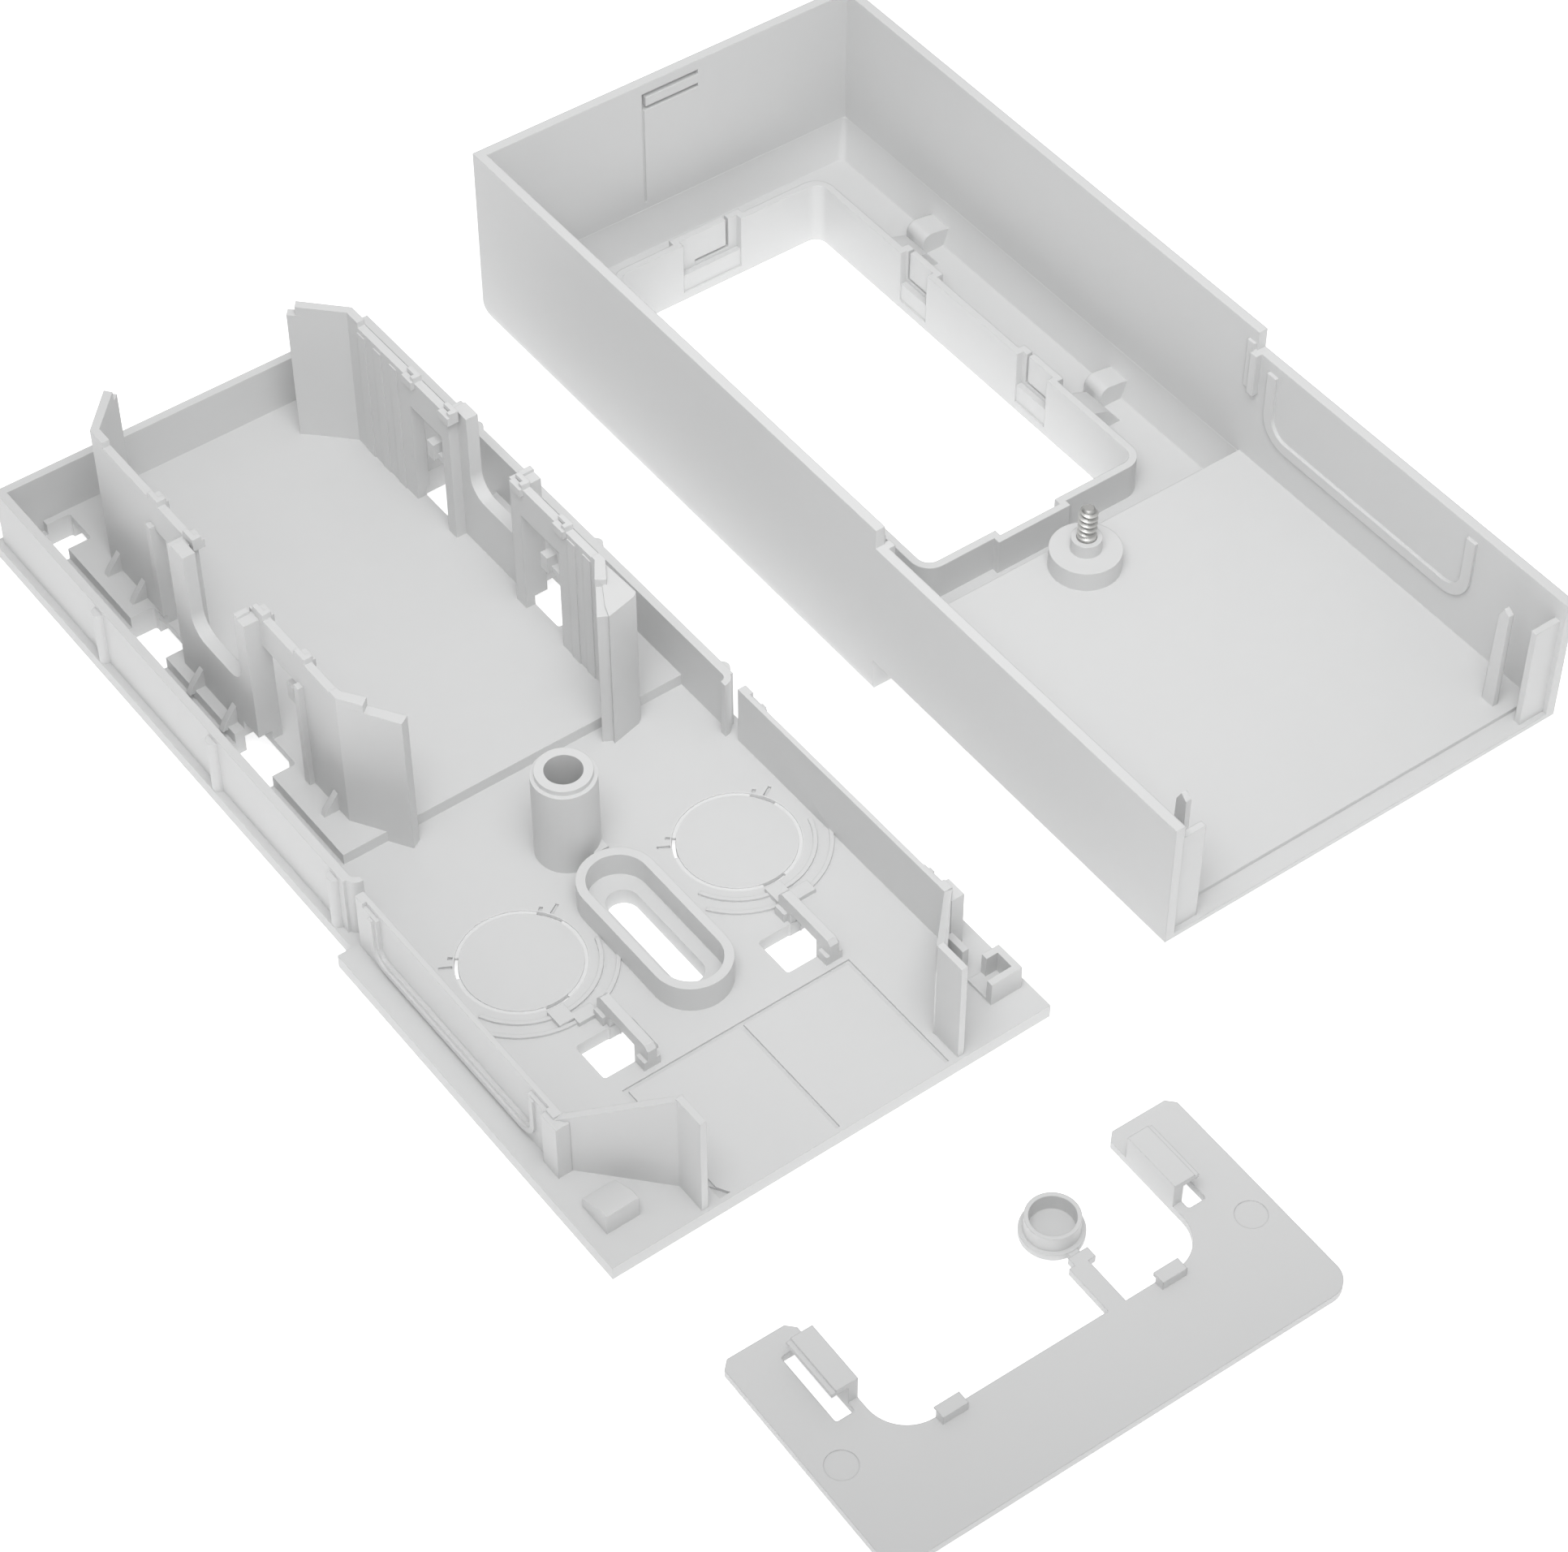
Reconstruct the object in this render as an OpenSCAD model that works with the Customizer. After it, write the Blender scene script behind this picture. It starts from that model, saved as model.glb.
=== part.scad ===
// Socket mounting base: tray, upturned cover hood with its captive screw, and closing plate.
// All sizes in millimetres, +Z up. Pieces are drawn from the tray's front left corner, and datum()
// then moves the origin under the crossing of the tray's centre line and its cross score line.

/* [Tray plan] */
// Width of the tray's front flange
base_w = 84; // [70:0.5:100]
// Length of the front flange, along Y
front_len = 75.5; // [70:0.5:90]
// Whole length from the front edge to the back wall
base_len = 189; // [180:0.5:210]
// Thickness of the flange plate
flange_t = 2.7; // [2:0.1:4]
// How far the side walls stand in from the flange edges
wall_in = 4; // [3:0.1:6]
// Thickness of the tray's side walls
wall_t = 1.6; // [1.2:0.1:2.4]
// Height of the tray's rim
rim_h = 15; // [11:0.5:20]
// Foot band round the rear part, how far it stands out of the wall
band_out = 1.3; // [0.6:0.1:2]
// Height of the raised floor under the socket insert
floor_h = 5; // [4.2:0.1:6]
// Where the raised floor begins, from the front edge
floor_y = 91; // [88:0.5:94]

/* [Socket insert holders] */
// Free width between the two holder walls
clip_gap = 48.9; // [46:0.1:52]
// Top of the holder walls above the table
clip_top = 33.6; // [28:0.1:36]
// Rise of the small catches above the holder walls
catch_h = 1.2; // [0.6:0.1:1.6]
// Thickness of the holder walls
clip_t = 1.5; // [1.2:0.1:2]
// Where the holder walls begin, from the front edge
clip_y0 = 97; // [95:0.5:99]
// Where the holder walls end
clip_y1 = 172; // [170:0.5:176]
// Top of the windows cut in the holder walls
window_top = 27; // [22:0.5:29]

/* [Cable entry floor] */
// Radius of the score ring round each knock-out
ko_r = 10.35; // [8:0.05:11]
// How far the pair of knock-outs stands right of the centre line
ko_off = 1.8; // [0:0.1:3]
// Distance between the two knock-outs
ko_pitch = 42.4; // [40:0.1:44]
// Distance of the knock-outs from the front edge
ko_y = 57; // [55:0.1:59]
// Depth of the knock-out score ring
ko_depth = 1.9; // [1:0.1:2.1]
// Height of the screw post above the table
post_h = 21.5; // [16:0.5:23]
// Outer radius of the screw post
post_r = 5.5; // [4.8:0.1:6.5]
// Distance of the screw post from the front edge
post_y = 72.3; // [70:0.1:74]
// Width of the slotted fixing hole
slot_w = 5.6; // [4:0.1:7]
// Length of the slotted fixing hole
slot_len = 23.1; // [18:0.1:25]
// Distance of the slotted hole from the front edge
slot_y = 48.2; // [47:0.1:49]
// Distance between the two cable tie bridges
tie_pitch = 35.3; // [34:0.1:37]
// Distance of the cross score line from the front edge
score_y = 26.1; // [25.6:0.1:26.6]

/* [Cover hood] */
// How much narrower the cover is than the tray's flange
cover_less = 1.3; // [0.6:0.1:2]
// Length of the cover
cover_len = 193.4; // [190:0.1:205]
// Height of the cover over the socket insert
cover_h = 42; // [38:0.5:48]
// Length of the lower cover part over the cable entry
trunk_len = 75.5; // [75:0.1:77]
// How much lower the cable part's outer face lies
trunk_drop = 12; // [8:0.1:14]
// How much shorter the cable part's rim is
rim_drop = 4; // [3:0.1:5]
// Thickness of the cover's walls
cover_t = 1.8; // [1.4:0.1:2.2]
// Radius of the big outer edge round the raised face
edge_r = 8; // [5:0.1:9]
// Width of the opening for the socket insert
open_w = 45.7; // [42:0.1:46]
// Length of the opening for the socket insert
open_len = 92.2; // [88:0.1:94]
// Where the opening begins, from the cable end
open_y = 87.1; // [86:0.1:89]
// How far the opening stands right of the cover's centre line
open_off = 1.5; // [0:0.1:2]
// Height of the lip round the opening
lip_h = 13; // [9:0.1:14]
// Radius of the screw boss in the cover
boss_r = 6.3; // [5.8:0.1:7]

/* [Cover screw] */
// Radius of the screw's shank
screw_r = 1.7; // [1.4:0.05:2]
// Running clearance round the shank
screw_play = 0.06; // [0.02:0.01:0.1]
// Length of shank standing out of the collar
screw_out = 8.7; // [6:0.1:11]
// Radius of the screw's head
head_r = 3.2; // [2.6:0.1:3.4]

/* [Closing plate] */
// Width of the closing plate
plate_w = 85; // [82:0.5:88]
// Depth of the closing plate along its arms
plate_d = 43; // [40:0.5:46]
// Thickness of the closing plate
plate_t = 1.5; // [1.2:0.1:2]
// Width of the bar joining both arms
plate_bar = 17.3; // [15:0.1:19]
// Width of each arm
plate_arm = 13.1; // [12.6:0.1:15]
// Radius of the inner corners
plate_r = 7; // [5:0.1:8]
// Radius of the outer corners
plate_corner = 4; // [2:0.1:6]
// Outer radius of the screw hole cap
cap_r = 4.4; // [4.2:0.05:4.45]
// Height of the screw hole cap
cap_h = 4.2; // [3:0.1:5]
// Distance of the cap from the plate's left edge
cap_x = 54.8; // [50:0.1:58]
// Distance of the cap from the plate's long outer edge
cap_y = 34.2; // [32:0.1:37]

/* [Layout] */
// Where the cover's near left corner lies, across the tray
cover_x = 101.1; // [96:0.1:115]
// Where the cover's near left corner lies, along the tray
cover_y = -6.5; // [-12:0.1:10]
// Where the plate's near left corner lies, across the tray
plate_x = 2.2; // [-5:0.1:10]
// Where the plate's near left corner lies, along the tray
plate_y = -65.4; // [-70:0.1:-55]

/* [Hidden] */
// overlap that makes a cut clean
e = 0.01;
// centre line of the tray
mid = base_w / 2;
// outer and inner faces of the tray's side walls
xo = wall_in;
xi = wall_in + wall_t;
// where the rear side walls begin
rear_y = front_len + 2.9;
// inner face of the right holder wall
clip_x = mid + clip_gap / 2;
// height the holder walls start from, a little inside the floor
root_z = floor_h - 0.6;
// thickness of the holder walls between the windows
bay_t = clip_t + 0.9;
// cover width, inner faces and the height of its inner floors
cw = base_w - cover_less;
ci = cover_t;
trunk_in = trunk_drop + cover_t;
// screw boss heights in the cover
boss_y = 71;
boss_top = trunk_in + 4;
collar_top = boss_top + 2.7;
sink_r = 4.5;
sink_top = boss_top - 1.4;
// middle between the two knock-outs, and the left cable tie bridge
ko_mid = mid + ko_off;
tie_x = mid - 15.9;
tip_z = collar_top + screw_out;
// colour of the moulded plastic and of the screw
plastic = [0.86, 0.86, 0.86];
steel = [0.62, 0.62, 0.6];

// Which piece to show

// box given by its two corners
module span(a, b) translate(a) cube([b[0] - a[0], b[1] - a[1], b[2] - a[2]]);

// box with rounded upright corners, given by its two corners
module round_span(a, b, r, n = 32) {
  h = b[2] - a[2];
  span([a[0] + r, a[1], a[2]], [b[0] - r, b[1], b[2]]);
  span([a[0], a[1] + r, a[2]], [b[0], b[1] - r, b[2]]);
  for (x = [a[0] + r, b[0] - r], y = [a[1] + r, b[1] - r])
    translate([x, y, a[2]]) cylinder(r = r, h = h, $fn = n);
}

// long hole or its collar, rounded at both ends
module stadium(w, l, z0, z1, n = 48) {
  r = w / 2;
  span([-r, -l / 2 + r, z0], [r, l / 2 - r, z1]);
  for (s = [-1, 1]) translate([0, s * (l / 2 - r), z0]) cylinder(r = r, h = z1 - z0, $fn = n);
}

// ring wall with a plain bore
module ring(ro, ri, z0, z1, n = 48) translate([0, 0, z0]) difference() {
  cylinder(r = ro, h = z1 - z0, $fn = n);
  translate([0, 0, -1]) cylinder(r = ri, h = z1 - z0 + 2, $fn = n);
}

// part of a ring between two angles
module arc(ro, ri, z0, z1, a0, a1, n = 64) translate([0, 0, z0]) rotate([0, 0, a0])
  rotate_extrude(angle = a1 - a0, $fn = n) translate([ri, 0]) square([ro - ri, z1 - z0]);

// the same thing on the left and on the right of a centre line
module both(x) {
  children();
  translate([2 * x, 0, 0]) mirror([1, 0, 0]) children();
}

// flange, foot band and floors of the tray
module tray_floor() {
  span([0, 0, 0], [base_w, front_len, flange_t]);
  span([xo - band_out, front_len - e, 0], [base_w - xo + band_out, base_len + band_out, flange_t]);
  span([mid - 30.8, floor_y, 0], [base_w - xi + e, base_len - wall_t + e, floor_h]);
}

// hollow under the raised floor, and the openings beside the holder walls
module tray_floor_cuts() {
  difference() {
    span([mid - 29, floor_y + 1.8, -1], [base_w - xi - 1.6, base_len - wall_t - 1.8, floor_h - 1.6]);
    for (y = [113.5, 134, 156.5]) span([10, y, -2], [base_w, y + 1.4, floor_h]);
  }
  for (y = [[112.5, 124.2], [146.2, 157.8], [178.8, 186.2]])
    both(mid) round_span([xi, y[0], -2], [mid - clip_gap / 2 - clip_t - 0.3, y[1], floor_h + 2], 0.5, 16);
}

// upright walls of the tray
module tray_walls() {
  both(mid) {
    // rear side wall with its three outer ribs
    span([xo, rear_y, 0], [xi, base_len, rim_h]);
    for (y = [81.2, 117.6, 154])
      translate([xo + 0.1, y, 0]) cylinder(r = band_out, h = rim_h - 0.9, $fn = 24);
    // front side wall with the side break-out
    difference() {
      span([xo, 20.3, 0], [xi, front_len - 0.6, rim_h]);
      span([xo - 1, 27.2, 7.6], [xo + 0.7, 69, rim_h + 1]);
      span([xo - 1, 29.2, 5.6], [xo + 0.7, 67, rim_h]);
      for (y = [29.2, 67]) translate([xo - 1, y, 7.6]) rotate([0, 90, 0])
        cylinder(r = 2, h = 1.7, $fn = 32);
      span([xo - 1, 22.4, rim_h - 0.9], [xo + 0.7, 72.8, rim_h + 1]);
    }
    breakout_bead();
    // thick end of the front wall
    span([xo - 0.9, 18.4, 0], [xi, 22.4, rim_h - 0.5]);
    // curved end of the rear wall, reaching inward past the front wall
    translate([xi + 1.2, rear_y + 0.8, 0]) difference() {
      cylinder(r = 2.4, h = rim_h, $fn = 32);
      translate([0, 0, -1]) cylinder(r = 1.2, h = rim_h + 2, $fn = 32);
      translate([0, -5, -1]) cube([5, 10, rim_h + 2]);
      translate([-5, 0, -1]) cube([10, 5, rim_h + 2]);
    }
  }
  span([xo, base_len - wall_t, 0], [base_w - xo, base_len, rim_h]);
}

// raised line round the side break-out
module breakout_bead() {
  y0 = 25.4;
  y1 = 70.8;
  z0 = 3.8;
  for (y = [y0, y1 - 1]) span([xo - 0.45, y, z0 + 4], [xo + e, y + 1, rim_h - 1.2]);
  span([xo - 0.45, y0 + 4, z0], [xo + e, y1 - 4, z0 + 1]);
  for (s = [[y0 + 4, 1], [y1 - 4, -1]]) translate([xo - 0.45, s[0], z0 + 4]) difference() {
    rotate([0, 90, 0]) cylinder(r = 4, h = 0.46, $fn = 48);
    translate([-1, 0, 0]) rotate([0, 90, 0]) cylinder(r = 3, h = 3, $fn = 48);
    translate([-1, -5, 0]) cube([3, 10, 5]);
    translate([-1, s[1] > 0 ? 0 : -5, -5]) cube([3, 5, 10]);
  }
}

// folded wing at the cable end, rising to its free end
module wing() {
  px = mid - 24.6;
  py = 5.8;
  dx = px - xo;
  dy = 20.3 - py;
  l = sqrt(dx * dx + dy * dy);
  translate([xo, 20.3, 0]) rotate([0, 0, -atan2(dy, dx)]) translate([0, 1.2, 0]) rotate([90, 0, 0])
    linear_extrude(1.2) polygon([[0, 0], [l, 0], [l, 23.8], [0, rim_h - 0.6]]);
  span([px - 0.5, 0.6, 0], [px + 0.7, py + 0.9, 23.8]);
}

// holder wall for the socket insert, drawn for the right side
module holder() {
  translate([clip_x, 0, 0]) {
    // main wall with two windows and the bay set outward between them
    difference() {
      span([0, clip_y0, root_z], [clip_t, clip_y1, clip_top]);
      for (y = [[107.8, 119.5], [141.9, 153.1]])
        span([-1, y[0], floor_h], [clip_t + 1, y[1], window_top]);
      span([-1, 122.3, floor_h - 1], [clip_t + 1, 141.2, clip_top + 1]);
    }
    difference() {
      span([2, 121.4, root_z], [2 + bay_t, 141.9, clip_top]);
      span([1, 126.5, 16.8], [5, 134.1, clip_top + 1]);
      span([1, 122.5, 20.8], [5, 138.1, clip_top + 1]);
      for (y = [126.5, 134.1]) translate([1, y, 20.8]) rotate([0, 90, 0])
        cylinder(r = 4, h = 4, $fn = 48);
    }
    // jambs beside the windows, standing a little outward
    for (y = [107, 152.9]) span([e, y, root_z], [clip_t + 1, y + 1.4, window_top + 0.8]);
    for (y = [119.4, 140.8]) span([e, y, root_z], [2 + bay_t, y + 2.4, clip_top - 0.6]);
    // pawls in the windows and catches on the top edge
    for (y = [107.7, 141.8]) {
      span([0.1, y, 20.5], [1.3, y + 5.2, 21.8]);
      span([-0.7, y + 3.2, 20.5], [1.3, y + 5.2, 24]);
    }
    for (y = [105.8, 118.2, 139.6, 150.8]) {
      span([-0.7, y, clip_top - 1.3], [0.5, y + 3, clip_top + 0.4]);
      span([-0.2, y, clip_top - 1.3], [clip_t, y + 0.9, clip_top + catch_h]);
      span([0.6, y, clip_top - 1.3], [clip_t, y + 3, clip_top + catch_h]);
    }
    // rear corner panel, the tallest, with a small step at its inner top corner
    linear_extrude(clip_top + catch_h)
      polygon([[0, clip_y1 - 3.5], [clip_t, clip_y1 - 3.5], [clip_t, clip_y1 + 0.4],
               [-5.4, clip_y1 + 7.6], [-6.4, clip_y1 + 6.4], [0, clip_y1 - 0.2]]);
    linear_extrude(clip_top - 0.7)
      polygon([[-5.2, clip_y1 + 5.2], [-4.2, clip_y1 + 6.4], [-6.6, clip_y1 + 8.6],
               [-7.6, clip_y1 + 7.4]]);
    // front corner panel, stepped down towards its free end
    linear_extrude(clip_top + 0.3)
      polygon([[0, clip_y0 + 1.5], [clip_t, clip_y0 + 1.5], [clip_t, clip_y0 - 0.3],
               [-1.1, floor_y + 1.7], [-2.6, floor_y + 2.9], [0, clip_y0 + 0.6]]);
    linear_extrude(clip_top - 1.4)
      polygon([[clip_t, clip_y0 - 0.3], [-4.6, floor_y - 3.9], [-6.3, floor_y - 2.9],
               [0, clip_y0 + 0.6]]);
    // shallow upright ribs on the wall's inner face and the feet at its outer side
    for (y = [98.8, 103.2, 156.4, 161.4, 166.4])
      span([-0.2, y, root_z], [e, y + 2.2, clip_top - 1]);
    for (y = [99.6, 126.2, 136.6, 160.2, 168.6]) translate([y > 122 && y < 140 ? 2.8 : 0, y, root_z])
      rotate([90, 0, 180]) mirror([1, 0, 0]) linear_extrude(1.2)
        polygon([[clip_t - e, 0], [clip_t + 3.2, 0], [clip_t + 2.4, 1.6], [clip_t - e, 4.6]]);
  }
}

// wide front panel that only the right holder has
module holder_front() translate([clip_x, 0, 0]) linear_extrude(clip_top - 0.9)
  polygon([[clip_t, clip_y0 + 0.5], [clip_t + 0.3, floor_y - 2.4], [clip_t - 0.5, floor_y - 3.1],
           [-4.9, floor_y - 4.4], [-4, floor_y - 2], [0, clip_y0 - 1]]);

// screw post, its bore and the small rib at its foot
module post() {
  cylinder(r = post_r, h = post_h - 1, $fn = 64);
  cylinder(r = post_r - 0.7, h = post_h, $fn = 64);
  span([1.4, -5.6, 0], [4.2, -1.5, 5.4]);
}

// bridge for a cable tie between its two holes
module tie_bridge() {
  difference() {
    span([tie_x, 27.4, flange_t - e], [tie_x + 1.7, 41, 7.6]);
    span([tie_x - 1, 31, flange_t - 1], [tie_x + 3, 37.8, 5.2]);
    for (s = [[26.4, -1], [42, 1]]) translate([tie_x - 1, s[0], 8.6]) rotate([s[1] * 45, 0, 0])
      translate([0, -2, -1.2]) cube([4, 4, 2.4]);
  }
  span([tie_x - 0.7, 27.4, flange_t - e], [tie_x + 2.4, 29.6, 4.6]);
  span([tie_x - 0.7, 38.6, flange_t - e], [tie_x + 2.4, 41, 4.6]);
}

// knock-out: fine line on top, broad relief below, three open slits with ticks beside them
module knockout_cut() {
  translate([0, 0, flange_t - 0.25]) ring(ko_r + 0.35, ko_r - 0.35, 0, 4, 96);
  translate([0, 0, ko_depth - 5]) ring(ko_r + 2.3, ko_r - 2.3, 0, 5, 96);
  for (a = [30, 150, 270]) arc(ko_r + 0.3, ko_r - 0.3, -1, flange_t + 1, a - 12, a + 12);
  for (a = [30, 150]) rotate([0, 0, a]) {
    span([ko_r + 0.6, -0.4, flange_t - 0.5], [ko_r + 2.8, 0.2, 4]);
    rotate([0, 0, a < 90 ? 10 : -10]) span([ko_r + 0.6, -0.3, flange_t - 0.5], [ko_r + 1.4, 0.3, 4]);
  }
}
module knockout_lines() {
  arc(ko_r + 2.7, ko_r + 2, flange_t - e, flange_t + 0.45, 205, 345);
  arc(ko_r + 5.4, ko_r + 4.7, flange_t - e, flange_t + 0.45, 215, 335);
  span([-2.9, -ko_r - 4.6, flange_t - e], [0.1, -ko_r - 1, flange_t + 0.9]);
  span([-0.2, -ko_r - 6, flange_t - e], [3.6, -ko_r - 3.6, flange_t + 0.9]);
}

// small blocks on the flange outside the wings
module flange_blocks() {
  // ramp block on the left
  translate([9, 0, 0]) rotate([0, -90, 0]) linear_extrude(6)
    polygon([[flange_t - e, 5.6], [7, 5.6], [7, 7.4], [4.6, 12], [flange_t - e, 12]]);
  // open box on the right with a fin behind it
  difference() {
    span([base_w - 7.5, 5.6, flange_t - e], [base_w - 1.4, 11.5, 7.6]);
    span([base_w - 8.5, 6.8, flange_t + 0.6], [base_w - 2.6, 10.3, 8.6]);
    span([base_w - 8.5, 9, flange_t + 0.6], [base_w - 4.8, 12, 8.6]);
  }
  span([base_w - 7.5, 13, flange_t - e], [base_w - 6.3, 17.2, 8.6]);
}

module tray() difference() {
  union() {
    tray_floor();
    tray_walls();
    both(mid) wing();
    both(mid) holder();
    holder_front();
    translate([mid + 0.2, post_y, 0]) post();
    translate([mid + 0.3, slot_y, 0]) stadium(13.7, 33.4, flange_t - e, 8);
    for (i = [0, 1]) translate([i * tie_pitch, 0, 0]) tie_bridge();
    for (s = [-1, 1]) translate([ko_mid + s * ko_pitch / 2, ko_y, 0]) knockout_lines();
    flange_blocks();
  }
  tray_floor_cuts();
  // post bore, deep for the screw's collar and narrow below
  translate([mid + 0.2, post_y, 9]) cylinder(r = 3.2, h = 20, $fn = 48);
  translate([mid + 0.2, post_y, -1]) cylinder(r = 1.45, h = 12, $fn = 32);
  // slotted fixing hole with its ledge
  translate([mid + 0.3, slot_y, 0]) {
    stadium(13.7 - 3.2, 33.4 - 3.2, flange_t + 0.6, 9);
    stadium(slot_w, slot_len, -1, 9);
  }
  // holes beside the tie bridges
  for (i = [0, 1]) translate([i * tie_pitch, 0, 0]) {
    round_span([tie_x - 6.5, 29.9, -1], [tie_x, 37.8, 4], 0.6, 16);
    round_span([tie_x + 1.7, 29.9, -1], [tie_x + 4, 37.6, 4], 0.6, 16);
    span([tie_x - 0.1, 31, -1], [tie_x + 1.8, 37.6, flange_t + 1]);
  }
  for (s = [-1, 1]) translate([ko_mid + s * ko_pitch / 2, ko_y, 0]) knockout_cut();
  // score lines for the front break-outs
  span([mid - 21.5, score_y - 0.35, flange_t - 0.4], [mid + 22.4, score_y + 0.35, flange_t + 1]);
  for (x = [-21.5, 0.5, 21.7])
    span([mid + x, 0.9, flange_t - 0.4], [mid + x + 0.7, score_y, flange_t + 1]);
  // small wedge-shaped mark beside the left wing
  translate([mid - 21.6, 0.9, flange_t - 0.7]) linear_extrude(2) polygon([[0, 0], [2, 0], [0, 3.4]]);
}

// upper or lower body of the cover's raised part, with rounded edges below
module hood_block(g, r, z1) {
  // seen along the length: both long lower edges rounded
  intersection() {
    union() {
      span([g + r, -5, g], [cw - g - r, 250, z1]);
      span([g, -5, g + r], [cw - g, 250, z1]);
      for (x = [g + r, cw - g - r]) translate([x, -5, g + r]) rotate([-90, 0, 0])
        cylinder(r = r, h = 255, $fn = 64);
    }
    union() {
      span([-5, trunk_len + g + r, g], [cw + 5, cover_len - g - r, z1]);
      span([-5, trunk_len + g, g + r], [cw + 5, cover_len - g, z1]);
      for (y = [trunk_len + g + r, cover_len - g - r]) translate([-5, y, g + r]) rotate([0, 90, 0])
        cylinder(r = r, h = cw + 10, $fn = 64);
    }
  }
}

// wedge between the opening's lip and the side wall
module gusset(x, y0, y1) translate([x, y1, 0]) rotate([90, 0, 0]) linear_extrude(y1 - y0)
  polygon([[-0.2, cover_t - 0.2], [9.6, cover_t - 0.2], [9.6, 3.4], [5, lip_h - 3.6], [-0.2, lip_h - 1.6]]);

// raised line round the side break-out inside the cover
module inner_bead(x0, x1) {
  y0 = 20.5;
  y1 = 72;
  zb = trunk_drop + 9.2;
  for (y = [y0, y1 - 2.2]) span([x0, y, zb + 6], [x1, y + 2.2, cover_h - rim_drop - 2.2]);
  span([x0, y0 + 6, zb], [x1, y1 - 6, zb + 2.2]);
  for (s = [[y0 + 6, 1], [y1 - 6, -1]]) translate([x0, s[0], zb + 6]) difference() {
    rotate([0, 90, 0]) cylinder(r = 6, h = x1 - x0, $fn = 48);
    translate([-1, 0, 0]) rotate([0, 90, 0]) cylinder(r = 3.8, h = 3, $fn = 48);
    translate([-1, -7, 0]) cube([3, 14, 8]);
    translate([-1, s[1] > 0 ? 0 : -7, -7]) cube([3, 7, 14]);
  }
}

module cover_shape() {
  ox = (cw - open_w) / 2 + open_off;
  o1 = open_y + open_len;
  rim = cover_h - rim_drop;
  difference() {
    union() {
      hood_block(0, edge_r, cover_h);
      span([0, 0, trunk_drop], [cw, trunk_len + 8, rim]);
    }
    hood_block(ci, edge_r - ci, cover_h + 5);
    span([ci, -1, trunk_in], [cw - ci, trunk_len + 12, cover_h + 5]);
    span([-1, -1, rim], [cw + 1, trunk_len - e, cover_h + 5]);
    // cable end: low step in the floor
    span([ci, -1, trunk_in - 0.8], [cw - ci, 3.7, trunk_in + 1]);
    // opening for the socket insert
    round_span([ox, open_y, -1], [ox + open_w, o1, 5], 2.5);
    // latch recess in the far wall, with a ledge left inside it, and the moulding line below
    difference() {
      span([cw / 2 - 6.4, cover_len - ci - 1, cover_h - 6], [cw / 2 + 6, cover_len - 0.7, cover_h - 2.2]);
      span([cw / 2 - 5.6, cover_len - ci, cover_h - 5.2], [cw / 2 + 7, cover_len + 1, cover_h - 3.2]);
    }
    span([cw / 2 - 6.4, cover_len - ci - 1, cover_h - 27], [cw / 2 - 6, cover_len - ci + 0.2, cover_h - 5.9]);
    // screw hole and the sink for its cap
    translate([cw / 2, boss_y, trunk_drop - 1]) cylinder(r = sink_r, h = 9, $fn = 64);
  }
  // lip round the opening, stepped outward where the insert's latches pass
  difference() {
    union() {
      round_span([ox - 1.4, open_y - 1.4, ci - 0.4], [ox + open_w + 1.4, o1 + 1.4, lip_h], 3.9);
      for (j = lip_jogs(ox, o1)) span([j[0] - 1.3, j[1] - 1.3, ci - 0.4], [j[2] + 1.3, j[3] + 1.3, lip_h]);
    }
    round_span([ox, open_y, -1], [ox + open_w, o1, lip_h + 1], 2.5);
    for (j = lip_jogs(ox, o1)) span([j[0], j[1], ci], [j[2], j[3], lip_h + 1]);
    // thin L slits that free the latch tongues
    span([cw / 2 - 3, o1 + 1.2, lip_h - 6.6], [cw / 2 + 4, o1 + 3, lip_h - 6]);
    span([cw / 2 + 4, o1 + 1.2, lip_h - 6.6], [cw / 2 + 4.6, o1 + 3, lip_h + 1]);
    for (y = [112.4, 147.2]) {
      span([ox + open_w + 1.2, y, lip_h - 6.6], [ox + open_w + 3, y + 6.6, lip_h - 6]);
      span([ox + open_w + 1.2, y + 6, lip_h - 6.6], [ox + open_w + 3, y + 6.6, lip_h + 1]);
    }
  }
  // wedges beside the lip, both sides
  for (y = [101.8, 154.6]) {
    gusset(ox + open_w + 1.4 - e, y, y + 6.4);
    translate([ox - 1.4 + e, 0, 0]) mirror([1, 0, 0]) gusset(0, y, y + 6.4);
  }
  // screw boss and collar
  translate([cw / 2, boss_y, 0]) {
    ring(boss_r, sink_r - e, trunk_in - 0.4, sink_top + e, 64);
    ring(boss_r, screw_r + screw_play, sink_top, boss_top, 64);
    ring(2.7, screw_r + screw_play, boss_top - 0.2, collar_top, 48);
  }
  // side break-out lines, corner rails, blades and the rib at the step
  inner_bead(ci - 0.2, ci + 0.6);
  inner_bead(cw - ci - 0.6, cw - ci + 0.2);
  both(cw / 2) {
    span([ci - 0.2, 0.9, trunk_in - 1], [ci + 5.2, 2.1, rim - 4]);
    translate([ci + 5.4, 6, trunk_in - 0.2]) rotate([90, 0, 90]) linear_extrude(1.1)
      polygon([[0, 0], [2.6, 0], [2.2, 20], [1.2, 22], [0, 21]]);
    span([ci - 0.2, trunk_len - 1.2, rim - 9], [ci + 1.3, trunk_len + 0.4, rim]);
    span([ci - 0.2, trunk_len + 0.4, rim - 9], [ci + 0.5, trunk_len + 2.2, rim + 1.4]);
  }
}

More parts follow.
